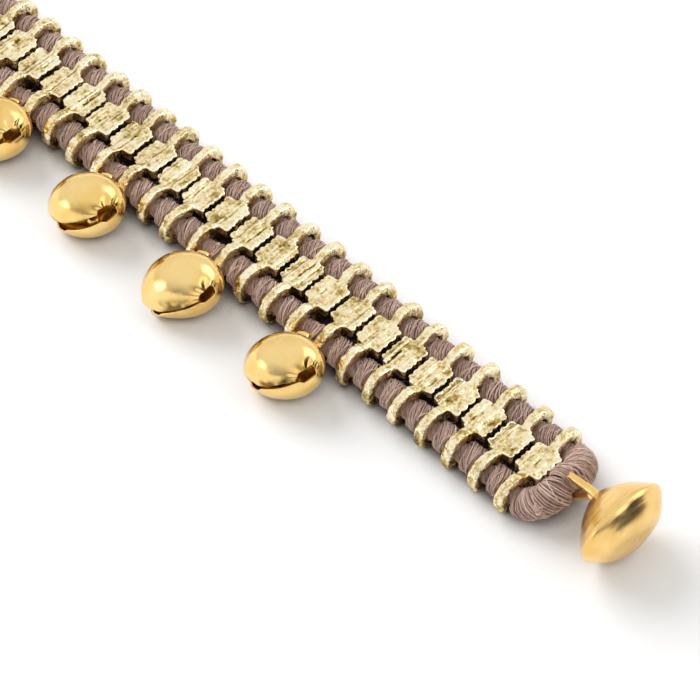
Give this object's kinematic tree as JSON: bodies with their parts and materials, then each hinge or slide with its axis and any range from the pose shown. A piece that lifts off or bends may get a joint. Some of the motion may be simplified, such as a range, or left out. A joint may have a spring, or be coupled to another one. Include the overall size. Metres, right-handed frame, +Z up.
{
  "type": "bell bracelet",
  "caption": "Flat bracelet of toothed cast links on two wrapped cords, with jingle bells along one edge and a button that fastens into a cord loop.",
  "frame": {"origin": "under the middle of the whole piece, on the surface that the band lies on", "axes": "+X along the band to the button end, -Y to the bells, +Z up out of the pads"},
  "size_m": [0.1832, 0.024, 0.0133],
  "materials": {
    "cast_brass": "rough cast, pale and worn",
    "gilt_brass": "polished",
    "satin_brass": "satin with filing marks",
    "cotton_thread": "wrapped thread, fuzzy"
  },
  "bodies": {
    "link_01": {"link_01": "cast_brass", "button_end_turn": "cotton_thread"},
    "link_02": {"link_02": "cast_brass"},
    "link_03": {"link_03": "cast_brass"},
    "link_04": {"link_04": "cast_brass"},
    "link_05": {"link_05": "cast_brass"},
    "link_06": {"link_06": "cast_brass"},
    "link_07": {"link_07": "cast_brass"},
    "link_08": {"link_08": "cast_brass", "bell_1_tie": "cotton_thread"},
    "link_09": {"link_09": "cast_brass"},
    "link_10": {"link_10": "cast_brass"},
    "link_11": {"link_11": "cast_brass"},
    "link_12": {"link_12": "cast_brass", "bell_2_tie": "cotton_thread"},
    "link_13": {"link_13": "cast_brass"},
    "link_14": {"link_14": "cast_brass"},
    "link_15": {"link_15": "cast_brass"},
    "link_16": {"link_16": "cast_brass", "near_cord": "cotton_thread", "far_cord": "cotton_thread", "bell_3_tie": "cotton_thread"},
    "link_17": {"link_17": "cast_brass"},
    "link_18": {"link_18": "cast_brass"},
    "link_19": {"link_19": "cast_brass"},
    "link_20": {"link_20": "cast_brass", "bell_4_tie": "cotton_thread"},
    "link_21": {"link_21": "cast_brass"},
    "link_22": {"link_22": "cast_brass"},
    "link_23": {"link_23": "cast_brass"},
    "link_24": {"link_24": "cast_brass", "bell_5_tie": "cotton_thread"},
    "link_25": {"link_25": "cast_brass"},
    "link_26": {"link_26": "cast_brass"},
    "link_27": {"link_27": "cast_brass"},
    "link_28": {"link_28": "cast_brass"},
    "link_29": {"link_29": "cast_brass"},
    "link_30": {"link_30": "cast_brass"},
    "link_31": {"link_31": "cast_brass"},
    "link_32": {"link_32": "cast_brass", "button_loop": "cotton_thread"},
    "bell_1": {"bell_1_shell": "gilt_brass", "bell_1_eye": "gilt_brass"},
    "bell_1_pellet": {"bell_1_pellet": "satin_brass"},
    "bell_2": {"bell_2_shell": "gilt_brass", "bell_2_eye": "gilt_brass"},
    "bell_2_pellet": {"bell_2_pellet": "satin_brass"},
    "bell_3": {"bell_3_shell": "gilt_brass", "bell_3_eye": "gilt_brass"},
    "bell_3_pellet": {"bell_3_pellet": "satin_brass"},
    "bell_4": {"bell_4_shell": "gilt_brass", "bell_4_eye": "gilt_brass"},
    "bell_4_pellet": {"bell_4_pellet": "satin_brass"},
    "bell_5": {"bell_5_shell": "gilt_brass", "bell_5_eye": "gilt_brass"},
    "bell_5_pellet": {"bell_5_pellet": "satin_brass"},
    "button": {"button_head": "satin_brass", "button_shank": "satin_brass"}
  },
  "joints": [
    {"name": "bell_1_swing", "type": "hinge", "parent": "link_08", "child": "bell_1", "pos_m": [0.03773, -0.00243, 0.00378], "axis": [-0.9272, -0.3746, 0], "range_deg": [-25, 70]},
    {"name": "bell_2_swing", "type": "hinge", "parent": "link_12", "child": "bell_2", "pos_m": [0.01853, -0.00243, 0.00378], "axis": [-0.9272, -0.3746, 0], "range_deg": [-25, 70]},
    {"name": "bell_3_swing", "type": "hinge", "parent": "link_16", "child": "bell_3", "pos_m": [-0.00067, -0.00243, 0.00378], "axis": [-0.9272, -0.3746, 0], "range_deg": [-25, 70]},
    {"name": "bell_4_swing", "type": "hinge", "parent": "link_20", "child": "bell_4", "pos_m": [-0.01987, -0.00243, 0.00378], "axis": [-0.9272, -0.3746, 0], "range_deg": [-25, 70]},
    {"name": "bell_5_swing", "type": "hinge", "parent": "link_24", "child": "bell_5", "pos_m": [-0.03907, -0.00243, 0.00378], "axis": [-0.9272, -0.3746, 0], "range_deg": [-25, 70]},
    {"name": "button_tilt", "type": "hinge", "parent": "link_01", "child": "button", "pos_m": [0.07888, 0.00455, 0.00514], "axis": [-0.0523, -0.9986, 0], "range_deg": [-70, 85]},
    {"name": "flex_01", "type": "hinge", "parent": "link_02", "child": "link_01", "pos_m": [0.07133, 0.00455, 0.00254], "axis": [0, 1, 0], "range_deg": [-6, 9], "stiffness_Nm_per_rad": 0.003},
    {"name": "flex_02", "type": "hinge", "parent": "link_03", "child": "link_02", "pos_m": [0.06653, 0.00455, 0.00254], "axis": [0, 1, 0], "range_deg": [-6, 9], "stiffness_Nm_per_rad": 0.003},
    {"name": "flex_03", "type": "hinge", "parent": "link_04", "child": "link_03", "pos_m": [0.06173, 0.00455, 0.00254], "axis": [0, 1, 0], "range_deg": [-6, 9], "stiffness_Nm_per_rad": 0.003},
    {"name": "flex_04", "type": "hinge", "parent": "link_05", "child": "link_04", "pos_m": [0.05693, 0.00455, 0.00254], "axis": [0, 1, 0], "range_deg": [-6, 9], "stiffness_Nm_per_rad": 0.003},
    {"name": "flex_05", "type": "hinge", "parent": "link_06", "child": "link_05", "pos_m": [0.05213, 0.00455, 0.00254], "axis": [0, 1, 0], "range_deg": [-6, 9], "stiffness_Nm_per_rad": 0.003},
    {"name": "flex_06", "type": "hinge", "parent": "link_07", "child": "link_06", "pos_m": [0.04733, 0.00455, 0.00254], "axis": [0, 1, 0], "range_deg": [-6, 9], "stiffness_Nm_per_rad": 0.003},
    {"name": "flex_07", "type": "hinge", "parent": "link_08", "child": "link_07", "pos_m": [0.04253, 0.00455, 0.00254], "axis": [0, 1, 0], "range_deg": [-6, 9], "stiffness_Nm_per_rad": 0.003},
    {"name": "flex_08", "type": "hinge", "parent": "link_09", "child": "link_08", "pos_m": [0.03773, 0.00455, 0.00254], "axis": [0, 1, 0], "range_deg": [-6, 9], "stiffness_Nm_per_rad": 0.003},
    {"name": "flex_09", "type": "hinge", "parent": "link_10", "child": "link_09", "pos_m": [0.03293, 0.00455, 0.00254], "axis": [0, 1, 0], "range_deg": [-6, 9], "stiffness_Nm_per_rad": 0.003},
    {"name": "flex_10", "type": "hinge", "parent": "link_11", "child": "link_10", "pos_m": [0.02813, 0.00455, 0.00254], "axis": [0, 1, 0], "range_deg": [-6, 9], "stiffness_Nm_per_rad": 0.003},
    {"name": "flex_11", "type": "hinge", "parent": "link_12", "child": "link_11", "pos_m": [0.02333, 0.00455, 0.00254], "axis": [0, 1, 0], "range_deg": [-6, 9], "stiffness_Nm_per_rad": 0.003},
    {"name": "flex_12", "type": "hinge", "parent": "link_13", "child": "link_12", "pos_m": [0.01853, 0.00455, 0.00254], "axis": [0, 1, 0], "range_deg": [-6, 9], "stiffness_Nm_per_rad": 0.003},
    {"name": "flex_13", "type": "hinge", "parent": "link_14", "child": "link_13", "pos_m": [0.01373, 0.00455, 0.00254], "axis": [0, 1, 0], "range_deg": [-6, 9], "stiffness_Nm_per_rad": 0.003},
    {"name": "flex_14", "type": "hinge", "parent": "link_15", "child": "link_14", "pos_m": [0.00893, 0.00455, 0.00254], "axis": [0, 1, 0], "range_deg": [-6, 9], "stiffness_Nm_per_rad": 0.003},
    {"name": "flex_15", "type": "hinge", "parent": "link_16", "child": "link_15", "pos_m": [0.00413, 0.00455, 0.00254], "axis": [0, 1, 0], "range_deg": [-6, 9], "stiffness_Nm_per_rad": 0.003, "deforming": ["near_cord", "far_cord"]},
    {"name": "flex_16", "type": "hinge", "parent": "link_16", "child": "link_17", "pos_m": [-0.00067, 0.00455, 0.00254], "axis": [0, -1, 0], "range_deg": [-6, 9], "stiffness_Nm_per_rad": 0.003},
    {"name": "flex_17", "type": "hinge", "parent": "link_17", "child": "link_18", "pos_m": [-0.00547, 0.00455, 0.00254], "axis": [0, -1, 0], "range_deg": [-6, 9], "stiffness_Nm_per_rad": 0.003},
    {"name": "flex_18", "type": "hinge", "parent": "link_18", "child": "link_19", "pos_m": [-0.01027, 0.00455, 0.00254], "axis": [0, -1, 0], "range_deg": [-6, 9], "stiffness_Nm_per_rad": 0.003},
    {"name": "flex_19", "type": "hinge", "parent": "link_19", "child": "link_20", "pos_m": [-0.01507, 0.00455, 0.00254], "axis": [0, -1, 0], "range_deg": [-6, 9], "stiffness_Nm_per_rad": 0.003},
    {"name": "flex_20", "type": "hinge", "parent": "link_20", "child": "link_21", "pos_m": [-0.01987, 0.00455, 0.00254], "axis": [0, -1, 0], "range_deg": [-6, 9], "stiffness_Nm_per_rad": 0.003},
    {"name": "flex_21", "type": "hinge", "parent": "link_21", "child": "link_22", "pos_m": [-0.02467, 0.00455, 0.00254], "axis": [0, -1, 0], "range_deg": [-6, 9], "stiffness_Nm_per_rad": 0.003},
    {"name": "flex_22", "type": "hinge", "parent": "link_22", "child": "link_23", "pos_m": [-0.02947, 0.00455, 0.00254], "axis": [0, -1, 0], "range_deg": [-6, 9], "stiffness_Nm_per_rad": 0.003},
    {"name": "flex_23", "type": "hinge", "parent": "link_23", "child": "link_24", "pos_m": [-0.03427, 0.00455, 0.00254], "axis": [0, -1, 0], "range_deg": [-6, 9], "stiffness_Nm_per_rad": 0.003},
    {"name": "flex_24", "type": "hinge", "parent": "link_24", "child": "link_25", "pos_m": [-0.03907, 0.00455, 0.00254], "axis": [0, -1, 0], "range_deg": [-6, 9], "stiffness_Nm_per_rad": 0.003},
    {"name": "flex_25", "type": "hinge", "parent": "link_25", "child": "link_26", "pos_m": [-0.04387, 0.00455, 0.00254], "axis": [0, -1, 0], "range_deg": [-6, 9], "stiffness_Nm_per_rad": 0.003},
    {"name": "flex_26", "type": "hinge", "parent": "link_26", "child": "link_27", "pos_m": [-0.04867, 0.00455, 0.00254], "axis": [0, -1, 0], "range_deg": [-6, 9], "stiffness_Nm_per_rad": 0.003},
    {"name": "flex_27", "type": "hinge", "parent": "link_27", "child": "link_28", "pos_m": [-0.05347, 0.00455, 0.00254], "axis": [0, -1, 0], "range_deg": [-6, 9], "stiffness_Nm_per_rad": 0.003},
    {"name": "flex_28", "type": "hinge", "parent": "link_28", "child": "link_29", "pos_m": [-0.05827, 0.00455, 0.00254], "axis": [0, -1, 0], "range_deg": [-6, 9], "stiffness_Nm_per_rad": 0.003},
    {"name": "flex_29", "type": "hinge", "parent": "link_29", "child": "link_30", "pos_m": [-0.06307, 0.00455, 0.00254], "axis": [0, -1, 0], "range_deg": [-6, 9], "stiffness_Nm_per_rad": 0.003},
    {"name": "flex_30", "type": "hinge", "parent": "link_30", "child": "link_31", "pos_m": [-0.06787, 0.00455, 0.00254], "axis": [0, -1, 0], "range_deg": [-6, 9], "stiffness_Nm_per_rad": 0.003},
    {"name": "flex_31", "type": "hinge", "parent": "link_31", "child": "link_32", "pos_m": [-0.07267, 0.00455, 0.00254], "axis": [0, -1, 0], "range_deg": [-6, 9], "stiffness_Nm_per_rad": 0.003},
    {"name": "pellet_1_roll", "type": "hinge", "parent": "bell_1", "child": "bell_1_pellet", "pos_m": [0.0399, -0.00779, 0.00495], "axis": [-0.3671, 0.9087, -0.1987], "continuous": true},
    {"name": "pellet_2_roll", "type": "hinge", "parent": "bell_2", "child": "bell_2_pellet", "pos_m": [0.0207, -0.00779, 0.00495], "axis": [-0.3671, 0.9087, -0.1987], "continuous": true},
    {"name": "pellet_3_roll", "type": "hinge", "parent": "bell_3", "child": "bell_3_pellet", "pos_m": [0.0015, -0.00779, 0.00495], "axis": [-0.3671, 0.9087, -0.1987], "continuous": true},
    {"name": "pellet_4_roll", "type": "hinge", "parent": "bell_4", "child": "bell_4_pellet", "pos_m": [-0.0177, -0.00779, 0.00495], "axis": [-0.3671, 0.9087, -0.1987], "continuous": true},
    {"name": "pellet_5_roll", "type": "hinge", "parent": "bell_5", "child": "bell_5_pellet", "pos_m": [-0.0369, -0.00779, 0.00495], "axis": [-0.3671, 0.9087, -0.1987], "continuous": true}
  ]
}
